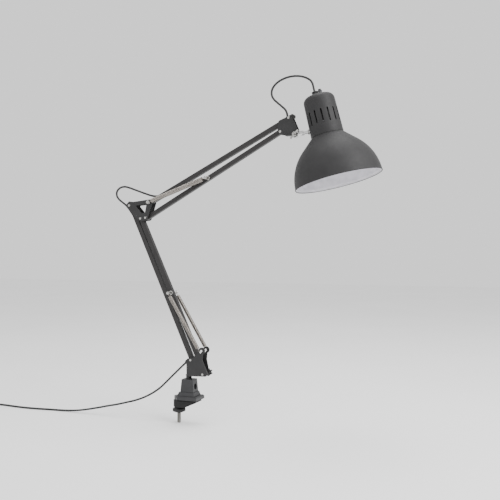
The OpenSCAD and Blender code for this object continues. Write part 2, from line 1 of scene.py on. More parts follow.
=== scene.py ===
"""The looks of a clamp-on architect desk lamp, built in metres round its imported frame."""

import json
import math

import bmesh
import bpy
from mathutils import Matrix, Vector


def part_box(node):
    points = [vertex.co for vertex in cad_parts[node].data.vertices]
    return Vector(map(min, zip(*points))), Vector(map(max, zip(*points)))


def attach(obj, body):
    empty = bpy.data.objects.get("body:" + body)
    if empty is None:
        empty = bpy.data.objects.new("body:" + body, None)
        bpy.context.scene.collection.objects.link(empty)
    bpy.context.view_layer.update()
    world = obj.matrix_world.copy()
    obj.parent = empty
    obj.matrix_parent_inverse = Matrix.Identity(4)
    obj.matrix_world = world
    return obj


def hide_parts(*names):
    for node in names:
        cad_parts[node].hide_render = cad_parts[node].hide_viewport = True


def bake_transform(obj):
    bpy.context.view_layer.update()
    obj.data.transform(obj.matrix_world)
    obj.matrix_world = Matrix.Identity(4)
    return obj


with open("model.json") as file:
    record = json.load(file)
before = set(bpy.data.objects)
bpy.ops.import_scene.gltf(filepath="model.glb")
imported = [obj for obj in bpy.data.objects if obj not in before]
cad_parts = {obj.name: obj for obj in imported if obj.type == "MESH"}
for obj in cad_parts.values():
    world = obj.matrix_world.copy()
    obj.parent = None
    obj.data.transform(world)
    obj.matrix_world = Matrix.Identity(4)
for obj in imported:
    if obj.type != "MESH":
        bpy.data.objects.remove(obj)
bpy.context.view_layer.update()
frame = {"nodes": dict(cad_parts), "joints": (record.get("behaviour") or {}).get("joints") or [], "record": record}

MM = 0.001
UP = Vector((0, 0, 1))
ACROSS = Vector((0, 1, 0))

# ---- places taken from the frame ----


def joint(name):
    return next(j for j in frame["joints"] if j["name"] == name)


def pivot(name):
    return Vector(joint(name)["pos_m"])


def toward(a, b):
    return (b - a).normalized()


def middle_of(node):
    """The middle of a node's box, in the arms' plane."""
    low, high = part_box(node)
    return Vector(((low.x + high.x) / 2, 0, (low.z + high.z) / 2))


base_a = pivot("lower_arm")
base_b = pivot("lower_follower")
elbow_a = pivot("elbow_level")
elbow_b = elbow_a + base_b - base_a
elbow_c = pivot("upper_arm")
elbow_d = pivot("upper_follower")
head_l = pivot("head_level")
head_t = head_l + Vector((17.3, 0, 26)) * MM
tilt = pivot("head_tilt")
ear = pivot("lower_spring_swing")
shade_up = -Vector(joint("switch_press")["axis"]).normalized()
shade_side = ACROSS.cross(shade_up).normalized()
floor_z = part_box("clamp_rod")[0].z
rod_x = middle_of("clamp_rod").x

# ---- camera ----


def make_camera():
    """Level with the middle of the lamp, in front of it and to its right."""
    data = bpy.data.cameras.new("camera")
    data.sensor_width = 36
    data.lens = 52.17
    data.clip_end = 50
    camera = bpy.data.objects.new("camera", data)
    camera.location = (0.6556, -1.3550, 0.3084)
    camera.rotation_euler = (math.radians(90), 0, math.radians(21))
    bpy.context.scene.collection.objects.link(camera)
    bpy.context.scene.camera = camera


make_camera()

# ---- mesh helpers ----


def mesh_object(name, bm, smooth=True):
    """Turns a bmesh into a linked object."""
    bmesh.ops.recalc_face_normals(bm, faces=bm.faces)
    for face in bm.faces:
        face.smooth = smooth
    data = bpy.data.meshes.new(name)
    bm.to_mesh(data)
    bm.free()
    piece = bpy.data.objects.new(name, data)
    bpy.context.scene.collection.objects.link(piece)
    return piece


def spline(points, step):
    """A smooth curve through the points, as points about step apart."""
    pts = [Vector(p) for p in points]
    out = []
    for i in range(len(pts) - 1):
        a, b, c, d = pts[max(i - 1, 0)], pts[i], pts[i + 1], pts[min(i + 2, len(pts) - 1)]
        n = max(1, round((c - b).length / step))
        for k in range(n):
            t = k / n
            out.append(0.5 * (2 * b + (c - a) * t + (2 * a - 5 * b + 4 * c - d) * t * t
                              + (3 * b - a - 3 * c + d) * t ** 3))
    out.append(pts[-1])
    return out


def close_rings(bm, rings):
    """Joins equal rings of vertices into a tube with flat ends."""
    for low, high in zip(rings, rings[1:]):
        for k in range(len(low)):
            n = (k + 1) % len(low)
            bm.faces.new((low[k], low[n], high[n], high[k]))
    bm.faces.new(list(reversed(rings[0])))
    bm.faces.new(rings[-1])


def add_sweep(bm, path, radius, sides):
    """Adds a closed tube along path; radius is a number, or a function of 0 to 1 along it."""
    normal = None
    rings = []
    last = len(path) - 1
    for i, point in enumerate(path):
        t = toward(path[max(i - 1, 0)], path[min(i + 1, last)])
        if normal is None:
            normal = t.orthogonal().normalized()
        normal = (normal - t * normal.dot(t)).normalized()
        side = t.cross(normal)
        r = radius(i / last) if callable(radius) else radius
        angles = [2 * math.pi * k / sides for k in range(sides)]
        rings.append([bm.verts.new(point + r * (math.cos(a) * normal + math.sin(a) * side))
                      for a in angles])
    close_rings(bm, rings)


def sweep(name, path, radius, sides=16):
    bm = bmesh.new()
    add_sweep(bm, [Vector(p) for p in path], radius, sides)
    return mesh_object(name, bm)


def add_lathe(bm, profile, origin, axis, sides, ripple=None):
    """Adds a turned solid or shell: profile is (radius, height) pairs about axis from origin.

    A profile whose ends are not on the axis is closed on itself. ripple(angle, height) adds
    to a radius, for flutes and ribs.
    """
    axis = axis.normalized()
    x = axis.orthogonal().normalized()
    y = axis.cross(x)
    rings = []
    for r, h in profile:
        centre = origin + axis * h
        if r < 1e-7:
            rings.append([bm.verts.new(centre)])
            continue
        ring = []
        for k in range(sides):
            a = 2 * math.pi * k / sides
            rr = r + (ripple(a, h) if ripple else 0)
            ring.append(bm.verts.new(centre + rr * (math.cos(a) * x + math.sin(a) * y)))
        rings.append(ring)
    pairs = list(zip(rings, rings[1:]))
    if len(rings[0]) > 1 and len(rings[-1]) > 1:
        pairs.append((rings[-1], rings[0]))
    for low, high in pairs:
        for k in range(sides):
            n = (k + 1) % sides
            if len(low) == 1 and len(high) == 1:
                continue
            if len(low) == 1:
                bm.faces.new((low[0], high[n], high[k]))
            elif len(high) == 1:
                bm.faces.new((low[k], low[n], high[0]))
            else:
                bm.faces.new((low[k], low[n], high[n], high[k]))


def lathe(name, profile, origin, axis, sides=48, ripple=None):
    bm = bmesh.new()
    add_lathe(bm, profile, origin, axis, sides, ripple)
    return mesh_object(name, bm)


def add_plate(bm, outline, place, thickness):
    """Adds a plate: outline is (x, y) pairs, and place maps them and a height to a point."""
    low = [bm.verts.new(place(x, y, -thickness / 2)) for x, y in outline]
    high = [bm.verts.new(place(x, y, thickness / 2)) for x, y in outline]
    n = len(outline)
    bm.faces.new(list(reversed(low)))
    bm.faces.new(high)
    for k in range(n):
        bm.faces.new((low[k], low[(k + 1) % n], high[(k + 1) % n], high[k]))


def round_edges(piece, width, segments=2, angle=35):
    """Rounds a piece's sharp edges with a modifier."""
    bevel = piece.modifiers.new("round edges", "BEVEL")
    bevel.width = width
    bevel.segments = segments
    bevel.limit_method = "ANGLE"
    bevel.angle_limit = math.radians(angle)
    return piece


# ---- materials ----


class Nodes:
    """A short way to build one material's nodes."""

    def __init__(self, name):
        self.material = bpy.data.materials.new(name)
        self.material.use_nodes = True
        self.tree = self.material.node_tree
        self.shader = self.tree.nodes["Principled BSDF"]
        self.place = self.add("ShaderNodeTexCoord").outputs["Object"]

    def add(self, kind, **values):
        node = self.tree.nodes.new(kind)
        for key, value in values.items():
            setattr(node, key, value)
        return node

    def link(self, a, b):
        self.tree.links.new(a, b)

    def noise(self, scale, detail=3.0, rough=0.55, stretch=(1, 1, 1)):
        """Noise over the object's own coordinates; scale is in features a metre."""
        mapping = self.add("ShaderNodeMapping")
        mapping.inputs["Scale"].default_value = stretch
        self.link(self.place, mapping.inputs["Vector"])
        node = self.add("ShaderNodeTexNoise")
        node.inputs["Scale"].default_value = scale
        node.inputs["Detail"].default_value = detail
        node.inputs["Roughness"].default_value = rough
        self.link(mapping.outputs["Vector"], node.inputs["Vector"])
        return node.outputs["Fac"]

    def ramp(self, fac, stops):
        """A colour ramp from (place, colour) stops."""
        node = self.add("ShaderNodeValToRGB")
        elements = node.color_ramp.elements
        while len(elements) < len(stops):
            elements.new(0.5)
        for element, (place, colour) in zip(elements, stops):
            element.position = place
            element.color = (*colour, 1)
        self.link(fac, node.inputs["Fac"])
        return node.outputs["Color"]

    def span(self, fac, low, high):
        """Maps 0 to 1 onto low to high."""
        node = self.add("ShaderNodeMapRange")
        node.inputs["To Min"].default_value = low
        node.inputs["To Max"].default_value = high
        self.link(fac, node.inputs["Value"])
        return node.outputs["Result"]

    def bump(self, height, distance, strength=0.5, onto=None):
        node = self.add("ShaderNodeBump")
        node.inputs["Distance"].default_value = distance
        node.inputs["Strength"].default_value = strength
        self.link(height, node.inputs["Height"])
        if onto is not None:
            self.link(onto, node.inputs["Normal"])
        return node.outputs["Normal"]

    def put(self, socket, value):
        """Sets a shader socket to a number or colour, or links it."""
        if hasattr(value, "is_linked"):
            self.link(value, self.shader.inputs[socket])
        else:
            self.shader.inputs[socket].default_value = value


def shade_of(colour, factor):
    return tuple(min(1.0, c * factor) for c in colour)


def coated_metal(name, colour, rough=0.5, grain=1400, depth=0.00006, cast=False):
    """Powder coat or enamel: a fine orange-peel grain, cloudy tone and patchy gloss."""
    m = Nodes(name)
    cloud = m.noise(55, 4)
    m.put("Base Color", m.ramp(cloud, [(0.3, shade_of(colour, 0.86)),
                                       (0.7, shade_of(colour, 1.14))]))
    m.put("Roughness", m.span(m.noise(190, 3), rough - 0.07, rough + 0.09))
    fine = m.bump(m.noise(grain, 2), depth, 0.55)
    if cast:
        fine = m.bump(m.noise(260, 5, 0.6), depth * 3, 0.5, fine)
    m.put("Normal", fine)
    m.put("Specular IOR Level", 0.36)
    return m.material


def bright_metal(name, colour, rough=0.25, stretch=(1, 1, 1), grain=900, tarnish=0.88):
    """Plated or polished metal with fine drawing marks and slight tarnish."""
    m = Nodes(name)
    cloud = m.noise(120, 4)
    m.put("Base Color", m.ramp(cloud, [(0.32, shade_of(colour, tarnish)),
                                       (0.66, shade_of(colour, 1.04))]))
    m.put("Roughness", m.span(m.noise(grain, 3, 0.6, stretch), rough - 0.06, rough + 0.1))
    m.put("Normal", m.bump(m.noise(grain, 3, 0.6, stretch), 0.00002, 0.35))
    m.put("Metallic", 1.0)
    return m.material


def moulded_plastic(name, colour, rough=0.45, grain=1800):
    """Plastic with a spark-eroded texture."""
    m = Nodes(name)
    m.put("Base Color", m.ramp(m.noise(70, 3), [(0.3, shade_of(colour, 0.8)),
                                                (0.7, shade_of(colour, 1.25))]))
    m.put("Roughness", m.span(m.noise(230, 2), rough - 0.06, rough + 0.1))
    m.put("Normal", m.bump(m.noise(grain, 2), 0.00005, 0.5))
    return m.material


def cord_sheath(name):
    """Soft black sheath, with handling marks."""
    m = Nodes(name)
    m.put("Base Color", m.ramp(m.noise(160, 4), [(0.3, (0.004, 0.004, 0.0042)),
                                                 (0.75, (0.010, 0.010, 0.0105))]))
    m.put("Roughness", m.span(m.noise(320, 3), 0.36, 0.56))
    m.put("Normal", m.bump(m.noise(1100, 3), 0.00004, 0.4))
    return m.material


coat = coated_metal("grey powder coat", (0.0195, 0.0192, 0.0199), 0.54)
bar_coat = coated_metal("bar powder coat", (0.0195, 0.0182, 0.0183), 0.5)
shade_coat = coated_metal("shade powder coat", (0.0185, 0.0180, 0.0187), 0.6, 1100, 0.00008)
cast_coat = coated_metal("cast grey enamel", (0.027, 0.027, 0.029), 0.5, 900, 0.0001, True)
# A copy of the cast enamel made near black for the clamp's lower jaw: painted shade, for the shade that falls
# under the clamp.
cast_coat_in_painted_shade = coated_metal("cast enamel darkened for painted shade", (0.004, 0.004, 0.0042), 0.6, 900, 0.0001, True)
enamel = coated_metal("white enamel", (0.62, 0.61, 0.65), 0.34, 700, 0.00004)
black_plastic = moulded_plastic("black plastic", (0.0042, 0.0042, 0.0044), 0.5)
grey_plastic = moulded_plastic("grey plastic", (0.05, 0.05, 0.053), 0.5)
zinc = bright_metal("zinc plate", (0.42, 0.415, 0.40), 0.25)
chrome = bright_metal("chrome", (0.62, 0.62, 0.62), 0.12, tarnish=0.9)
spring_wire = bright_metal("spring wire", (0.33, 0.305, 0.28), 0.27, (0.3, 4, 0.3), tarnish=0.8)
rod_steel = bright_metal("rod steel", (0.24, 0.235, 0.22), 0.34, (2, 2, 0.4), tarnish=0.75)
pin_metal = bright_metal("plug pin metal", (0.78, 0.74, 0.62), 0.24)
cord_black = cord_sheath("cord sheath")


def finish(piece, material, body=None, replaced=()):
    """Gives a piece its material, hides the nodes it stands for and hangs it on the body it rides."""
    piece.data.materials.clear()
    piece.data.materials.append(material)
    if replaced:
        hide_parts(*replaced)
    if body:
        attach(piece, body)
    return piece


# ---- the cords, which come first ----

CORD_D = 0.0042
CORD_R = CORD_D / 2
LIE_Z = floor_z + CORD_R
CORD_STEP = 0.002
CORD_SIDES = 14


def in_plane(points):
    """Points of the arms' plane, from (x, z) pairs."""
    return [Vector((x, 0, z)) for x, z in points]


def in_bar(p, q, steps):
    """Points beside the line p to q: distances along it, and out to its left."""
    along = toward(p, q)
    out = Vector((-along.z, 0, along.x))
    return [p + s * MM * along + o * MM * out for s, o in steps]


upper_steps = [(46, 1.4), (80, 1.4), (150, 1.4), (230, 1.4), (312, 1.4), (324, 1.7), (332, 2.3),
               (337.5, 3.2), (342, 4.6)]
elbow_upper_route = in_bar(elbow_d, head_t, [(46, 1.4), (40, 1.5), (34, 2)]) + in_plane([
    (-0.065, 0.4234), (-0.075, 0.4216), (-0.087, 0.4232), (-0.100, 0.4272), (-0.114, 0.432),
    (-0.128, 0.437), (-0.141, 0.4415), (-0.152, 0.444), (-0.162, 0.4425), (-0.169, 0.4378),
    (-0.1722, 0.431)])
elbow_lower_route = in_plane([
    (-0.1722, 0.431), (-0.171, 0.4235), (-0.1656, 0.4166), (-0.1576, 0.4106), (-0.1496, 0.4046),
    (-0.1424, 0.397), (-0.1354, 0.388), (-0.129, 0.3786)]) + in_bar(elbow_a, base_a, [(36, -1.6)])
head_rear_route = in_bar(elbow_d, head_t, [(342, 4.6)]) + in_plane([
    (0.2132, 0.5772), (0.2095, 0.5846), (0.2024, 0.5914), (0.194, 0.5988), (0.1864, 0.606),
    (0.1818, 0.6146), (0.182, 0.6246), (0.187, 0.6332), (0.195, 0.640), (0.205, 0.6448)])
gland_tip = middle_of("cord_gland") + 0.005 * shade_up
head_front_route = in_plane([
    (0.205, 0.6448), (0.215, 0.6476), (0.226, 0.6488), (0.238, 0.648), (0.250, 0.6446),
    (0.2604, 0.6384), (0.2654, 0.6308)]) + [gland_tip + 0.008 * shade_up, gland_tip]
mains_route = [Vector(p) for p in [
    (-0.006, 0, 0.0758), (-0.014, 0, 0.0685), (-0.022, 0, 0.061), (-0.030, 0, 0.0535),
    (-0.038, 0, 0.046), (-0.051, 0, 0.0335), (-0.065, 0, 0.0205), (-0.075, 0, 0.013),
    (-0.085, 0, 0.0065), (-0.097, 0, 0), (-0.110, 0, -0.006), (-0.128, 0, -0.0125),
    (-0.146, 0, -0.0175), (-0.171, 0, -0.024), (-0.196, 0, -0.0295), (-0.222, 0, -0.0355),
    (-0.248, 0, -0.041), (-0.272, 0, -0.045), (-0.296, 0, -0.0472), (-0.320, -0.001, LIE_Z),
    (-0.345, -0.003, LIE_Z), (-0.375, -0.006, LIE_Z), (-0.405, -0.007, LIE_Z),
    (-0.435, -0.005, LIE_Z), (-0.462, -0.0015, LIE_Z), (-0.485, 0, LIE_Z), (-0.505, 0, LIE_Z)]]
COIL_TURNS = 3
COIL_INNER = 0.0192
COIL_OUTER = COIL_INNER + COIL_TURNS * CORD_D
COIL_AT = Vector((-0.526, -COIL_OUTER, LIE_Z))
tail_route = [Vector(p) for p in [
    (-0.5574, -0.040, -0.0437), (-0.5566, -0.048, -0.0445), (-0.556, -0.056, -0.0465),
    (-0.556, -0.065, -0.0472), (-0.5547, -0.0715, -0.0468), (-0.551, -0.077, -0.0457),
    (-0.5455, -0.0807, -0.0442), (-0.539, -0.082, -0.0431), (-0.531, -0.082, -0.043)]]


def coil_path():
    """Three turns in, one turn up on to the second layer, three out and a quarter."""
    points = []
    per_turn = 40
    all_turns = 2 * COIL_TURNS + 1.25
    for i in range(1, int(all_turns * per_turn)):
        turn = i / per_turn
        inward = min(turn, COIL_TURNS) - min(max(turn - COIL_TURNS - 1, 0), COIL_TURNS)
        rise = min(max(turn - COIL_TURNS, 0), 1)
        a = math.pi / 2 + 2 * math.pi * turn
        r = COIL_OUTER - CORD_D * inward
        z = CORD_D * rise * rise * (3 - 2 * rise)
        points.append(COIL_AT + Vector((r * math.cos(a), r * math.sin(a), z)))
    return points


def swept_cord(name, path, body, *replaced):
    return finish(sweep(name, path, CORD_R, CORD_SIDES), cord_black, body, replaced)


def free_cord(name, path, replaced):
    """A swept cord on no body."""
    piece = swept_cord(name, path, None, replaced)
    return piece


def split_loop(first, second):
    """One smooth loop through two routes, as two paths that overlap by a step at their meeting."""
    whole = spline(first + second[1:], CORD_STEP)
    meeting = len(spline(first, CORD_STEP)) - 1
    return whole[:meeting + 2], whole[meeting:]


def make_cords():
    """The cord held in the bars' channels, and its free loops at the elbow, head and base."""
    held = in_bar(elbow_a, base_a, [(s, -1.6) for s in range(36, 315, 18)] + [(314, -1.6)])
    swept_cord("cord_in_the_lower_arm", held, "lower_main", "cord_in_lower_arm")
    held = spline(in_bar(elbow_d, head_t, upper_steps), 0.003)
    swept_cord("cord_in_the_upper_arm", held, "upper_top", "cord_in_upper_arm")

    upper, lower = split_loop(elbow_upper_route, elbow_lower_route)
    piece = free_cord("elbow_loop_over_the_joint", upper, "elbow_loop_upper")
    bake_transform(piece)
    piece = free_cord("elbow_loop_to_the_bar", lower, "elbow_loop_lower")
    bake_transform(piece)
    rear, front = split_loop(head_rear_route, head_front_route)
    piece = free_cord("head_loop_from_the_bar", rear, "head_loop_rear")
    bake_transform(piece)
    piece = free_cord("head_loop_to_the_shade", front, "head_loop_front")
    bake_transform(piece)

    angles = [math.radians(12 * k) for k in range(7)]
    bend = [(10.5 - 8 * math.sin(a), 1.6 + 8 * (1 - math.cos(a))) for a in angles]
    steps = [(38, 1.6), (31, 1.6), (24, 1.6), (17, 1.6)] + bend
    path = spline(in_bar(base_a, elbow_a, steps) + in_plane([(-0.00006, 0.08121)]), 0.0015)
    piece = free_cord("base_link_of_the_cord", path, "cord_base_link")
    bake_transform(piece)


make_cords()


def make_mains():
    """The free lead: along its route, round its coil, and to its plug, with tie and plug."""
    coil = coil_path()
    route = spline(mains_route + [coil[0]], CORD_STEP)[:-1]
    tail = spline([coil[-1]] + tail_route, CORD_STEP)[1:]
    path = route + coil + tail
    lead = swept_cord("mains_lead", path, None, "mains_cord", "cord_coil", "cord_tail")
    tie = make_tie()
    plug = make_plug(path)
    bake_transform(lead)


def make_tie():
    """A flat strap round the coil's winding, with a small clasp on top."""
    a = math.radians(125)
    out = Vector((math.cos(a), math.sin(a), 0))
    along = UP.cross(out)
    middle = Vector((COIL_AT.x, COIL_AT.y, floor_z)) + (COIL_OUTER + COIL_INNER) / 2 * out
    half = (COIL_OUTER - COIL_INNER) / 2 + CORD_R + 0.0006
    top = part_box("coil_tie")[1].z - floor_z - 0.0005
    corner = 0.0022
    loop = []
    for cx, cz, a0 in [(half - corner, corner, -90), (half - corner, top - corner, 0),
                       (corner - half, top - corner, 90), (corner - half, corner, 180)]:
        for k in range(7):
            b = math.radians(a0 + 15 * k)
            loop.append((cx + corner * math.cos(b), max(cz + corner * math.sin(b), 0)))
    bm = bmesh.new()
    rings = []
    half_width = 0.0028
    thickness = 0.0007
    for y in (-half_width, half_width):
        for grow in (0, thickness):
            rings.append([bm.verts.new(middle + out * x * (1 + grow / half) + along * y
                                       + UP * (z + (grow if z > top / 2 else 0))) for x, z in loop])
    inner_low, outer_low, inner_high, outer_high = rings
    n = len(loop)
    for p, q in [(inner_low, outer_low), (outer_low, outer_high), (outer_high, inner_high),
                 (inner_high, inner_low)]:
        for k in range(n):
            bm.faces.new((p[k], p[(k + 1) % n], q[(k + 1) % n], q[k]))
    clasp = [(-0.003, -0.0026), (0.003, -0.0026), (0.0038, 0), (0.003, 0.0026), (-0.003, 0.0026),
             (-0.0038, 0)]
    add_plate(bm, clasp, lambda x, y, h: middle + out * x + along * y + UP * (top + 0.0004 + h),
              0.0012)
    piece = round_edges(mesh_object("coil_strap", bm), 0.00025, 2, 40)
    return finish(piece, black_plastic, "clamp", ["coil_tie"])


SQUARENESS = 3.2


def make_plug(path):
    """A two-pin plug: a waisted body, a ribbed nose and a tapered relief on the cord."""
    foot = Vector((-0.531, -0.082, floor_z + 0.007))
    forward = Vector((1, 0, 0))
    sides = 40
    bm = bmesh.new()
    stations = [(0.0085, 0.0078, 0.0052), (0.0095, 0.0100, 0.0062), (0.0120, 0.0122, 0.0068),
                (0.0160, 0.0129, 0.00695), (0.0200, 0.0121, 0.0066), (0.0240, 0.0119, 0.0066),
                (0.0280, 0.0127, 0.00695), (0.0315, 0.0129, 0.00695), (0.0326, 0.0124, 0.0065)]
    rings = []
    for x, wide, tall in stations:
        ring = []
        for k in range(sides):
            a = 2 * math.pi * k / sides
            c, s = math.cos(a), math.sin(a)
            squarish = (abs(c) ** SQUARENESS + abs(s) ** SQUARENESS) ** (-1 / SQUARENESS)
            ring.append(bm.verts.new(foot + forward * x + ACROSS * wide * c * squarish
                                     + UP * tall * s * squarish))
        rings.append(ring)
    close_rings(bm, rings)
    nose = [(0, 0.0005), (0.0034, 0.0005), (0.0040, 0.0012), (0.0050, 0.0060), (0.0064, 0.0084),
            (0.0070, 0.0100), (0, 0.0104)]
    add_lathe(bm, nose, foot, forward, 28)

    def relief_radius(t):
        rib = 0.00025 if int(t * 11) % 2 else 0
        return CORD_R + 0.0001 + 0.0012 * t + rib

    add_sweep(bm, path[-12:], relief_radius, 18)
    piece = mesh_object("mains_plug", bm)
    return finish(piece, black_plastic, "clamp", ["plug_body"])


make_mains()

# ---- springs ----

LOWER_SPRING_Y = 0.018
UPPER_SPRING_Y = -0.015
HOOK_LENGTH = 0.008


def eye_points(centre, along, radius, y):
    """A round hook in the plane of the arms, open by 20 degrees."""
    side = ACROSS.cross(along)
    points = []
    for k in range(13):
        a = math.radians(200 - 340 * k / 12)
        points.append(centre + ACROSS * y + radius * (math.cos(a) * along + math.sin(a) * side))
    return points


def coil_spring(name, p, q, y, outer, wire, first_end):
    """A close-wound tension spring from p to q with its hooks, as one wire of radius wire."""
    along = toward(p, q)
    side = ACROSS.cross(along)
    length = (q - p).length
    radius = outer - wire
    pitch = 2 * wire * 1.03
    turns = int((length - 2 * HOOK_LENGTH) / pitch)
    start = p + ACROSS * y + along * (length - turns * pitch) / 2
    helix = []
    per_turn = 12
    for i in range(turns * per_turn + 1):
        a = 2 * math.pi * i / per_turn
        helix.append(start + along * pitch * i / per_turn
                     + radius * (math.cos(a) * ACROSS + math.sin(a) * side))
    eye = wire + 0.0021
    last_eye = eye_points(q, along, eye, y)
    leg_in = [last_eye[0] - along * 0.0022 + side * 0.0004]
    path = spline(first_end + [helix[0] - along * 0.0018], 0.0008)[:-1] + helix \
        + spline([helix[-1] + along * 0.0016] + leg_in + last_eye, 0.0008)
    return sweep(name, path, wire, 7)


def make_lower_springs():
    """The pair beside the lower arm, whose wires go through the bracket's ears."""
    anchor = middle_of("lower_spring_pin")
    along = toward(ear, anchor)
    for name, side, replaced in [("near", -1, ["lower_spring_near", "lower_spring_hooks"]),
                                 ("far", 1, ["lower_spring_far"])]:
        y = LOWER_SPRING_Y * side
        through = [ear + ACROSS * side * k * MM for k in (9.8, 12, 14.5)]
        bend = [ear + ACROSS * side * 0.0172 + along * 0.0006, ear + ACROSS * y + along * 0.0034]
        piece = coil_spring("balance_spring_" + name, ear, anchor, y, 0.004, 0.00052,
                            through + bend)
        finish(piece, spring_wire, None, replaced)
        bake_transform(piece)


def make_upper_spring():
    anchor = middle_of("upper_spring_pin")
    y = UPPER_SPRING_Y
    along = toward(elbow_d, anchor)
    first = list(reversed(eye_points(elbow_d, -along, 0.0028, y)))
    piece = coil_spring("balance_spring_upper", elbow_d, anchor, y, 0.0048, 0.0006, first)
    finish(piece, spring_wire, None, ["upper_spring", "upper_spring_hook"])
    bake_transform(piece)


make_lower_springs()
make_upper_spring()

# ---- pins and rivets ----

PIN_R = 0.002
HEAD_R = 0.0026
SPRING_BAR_R = 0.0018
SPRING_BAR_HEAD_R = 0.0031
DOME = 0.0013


def domed_pin(bm, at, r, y0, y1, head0, head1):
    """A pin along Y with a domed head at its near end, and at its far end unless head1 is 0."""
    profile = [(0, y0 - DOME), (head0 * 0.55, y0 - 0.0011), (head0 * 0.9, y0 - 0.0006),
               (head0, y0 - 0.0002), (head0, y0), (r, y0)]
    if head1:
        profile += [(r, y1), (head1, y1), (head1, y1 + 0.0002), (head1 * 0.9, y1 + 0.0006),
                    (head1 * 0.55, y1 + 0.0011), (0, y1 + DOME)]
    else:
        profile += [(r, y1 - 0.0004), (r - 0.0004, y1), (0, y1)]
    add_lathe(bm, profile, Vector((at.x, 0, at.z)), ACROSS, 28)


def washer(bm, at, inner, outer, y0, y1):
    """A flat ring along Y with eased edges."""
    ease = 0.00015
    add_lathe(bm, [(inner, y0), (outer - ease, y0), (outer, y0 + ease), (outer, y1 - ease),
                   (outer - ease, y1), (inner, y1)], Vector((at.x, 0, at.z)), ACROSS, 32)


def spring_bar_washer(bm, at, y0, y1):
    washer(bm, at, SPRING_BAR_R, 0.0042, y0, y1)


def make_pins():
    """The pins of the bars' joints, and the cross bars that the springs hook on."""
    base_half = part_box("base_bracket")[1].y
    elbow_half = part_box("elbow_plate_far")[1].y
    head_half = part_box("head_bracket")[1].y
    bm = bmesh.new()
    domed_pin(bm, base_a, PIN_R, -base_half, base_half, HEAD_R, HEAD_R)
    domed_pin(bm, base_b, PIN_R, -base_half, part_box("base_pivot_bolts")[1].y, HEAD_R, 0)
    finish(mesh_object("base_pins", bm), zinc, "base", ["base_pivot_bolts"])

    bm = bmesh.new()
    for at in (elbow_a, elbow_b, elbow_c):
        domed_pin(bm, at, PIN_R, -elbow_half, elbow_half, HEAD_R, HEAD_R)
    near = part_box("elbow_pins")[0].y
    domed_pin(bm, elbow_d, PIN_R, near + DOME, elbow_half, 0.0034, HEAD_R)
    for side in (-1, 1):
        y = -0.0157 + side * 0.0014
        washer(bm, elbow_d, PIN_R, 0.0036, y - 0.0003, y + 0.0003)
    finish(mesh_object("elbow_rivets", bm), zinc, "elbow", ["elbow_pins"])

    bm = bmesh.new()
    for at in (head_l, head_t):
        domed_pin(bm, at, PIN_R, -head_half, head_half, HEAD_R, HEAD_R)
    finish(mesh_object("head_rivets", bm), zinc, "head", ["head_pins"])

    bm = bmesh.new()
    low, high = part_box("lower_spring_pin")
    anchor = middle_of("lower_spring_pin")
    domed_pin(bm, anchor, SPRING_BAR_R, low.y + DOME, high.y - DOME, SPRING_BAR_HEAD_R,
              SPRING_BAR_HEAD_R)
    spring_bar_washer(bm, anchor, -0.0053, -0.0046)
    spring_bar_washer(bm, anchor, 0.0046, 0.0053)
    piece = mesh_object("lower_spring_bar", bm)
    finish(piece, zinc, "lower_follower", ["lower_spring_pin"])

    bm = bmesh.new()
    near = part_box("upper_spring_pin")[0].y
    anchor = middle_of("upper_spring_pin")
    domed_pin(bm, anchor, SPRING_BAR_R, near + DOME, 0.0045, SPRING_BAR_HEAD_R, 0.003)
    spring_bar_washer(bm, anchor, -0.0053, -0.0046)
    finish(mesh_object("upper_spring_bar", bm), zinc, "upper_lower", ["upper_spring_pin"])


make_pins()

# ---- the clamp ----

ROD_R = 0.0039
THREAD_PITCH = 0.00125


def thread(bm, origin, axis, radius, depth, length):
    """Adds a screw-threaded rod with a chamfered foot."""
    steps = 6
    sides = 28
    count = int(length / THREAD_PITCH * steps)
    axis = axis.normalized()
    x = axis.orthogonal().normalized()
    y = axis.cross(x)
    rings = []
    for i in range(count + 1):
        h = length * i / count
        ring = []
        for k in range(sides):
            phase = (h / THREAD_PITCH - k / sides) % 1
            crest = abs(2 * phase - 1)
            ease = min(1, h / 0.0012)
            r = (radius - depth + depth * min(1, 1.6 * crest)) * (0.8 + 0.2 * ease)
            a = 2 * math.pi * k / sides
            ring.append(bm.verts.new(origin + axis * h + r * (math.cos(a) * x + math.sin(a) * y)))
        rings.append(ring)
    close_rings(bm, rings)


def make_clamp():
    """The clamp's threaded rod and the fluted hand wheel that runs on it."""
    bm = bmesh.new()
    thread(bm, Vector((rod_x, 0, floor_z)), UP, ROD_R, 0.0005, -floor_z + 0.0045)
    finish(mesh_object("threaded_rod", bm), rod_steel, "clamp", ["clamp_rod"])

    low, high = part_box("clamp_knob")
    middle = Vector((rod_x, 0, 0))
    top, foot = high.z, low.z
    outer = (high.x - low.x) / 2

    def flutes(a, h):
        if foot + 0.0018 < h < top - 0.0032:
            return -0.0011 * (0.5 + 0.5 * math.cos(24 * a)) ** 2
        return 0

    profile = [(ROD_R, foot + 0.0006), (0.0075, foot), (0.0088, foot + 0.0006),
               (outer - 0.0022, foot + 0.0016), (outer - 0.0008, foot + 0.0021),
               (outer, foot + 0.0030), (outer, top - 0.0046), (outer - 0.0008, top - 0.0036),
               (outer - 0.0026, top - 0.0031), (0.0102, top - 0.0028), (0.0100, top - 0.0002),
               (ROD_R, top - 0.0002)]
    piece = lathe("clamp_hand_wheel", profile, middle, UP, 144, flutes)
    finish(piece, black_plastic, "clamp_knob", ["clamp_knob"])


make_clamp()

# ---- the head's joint ----


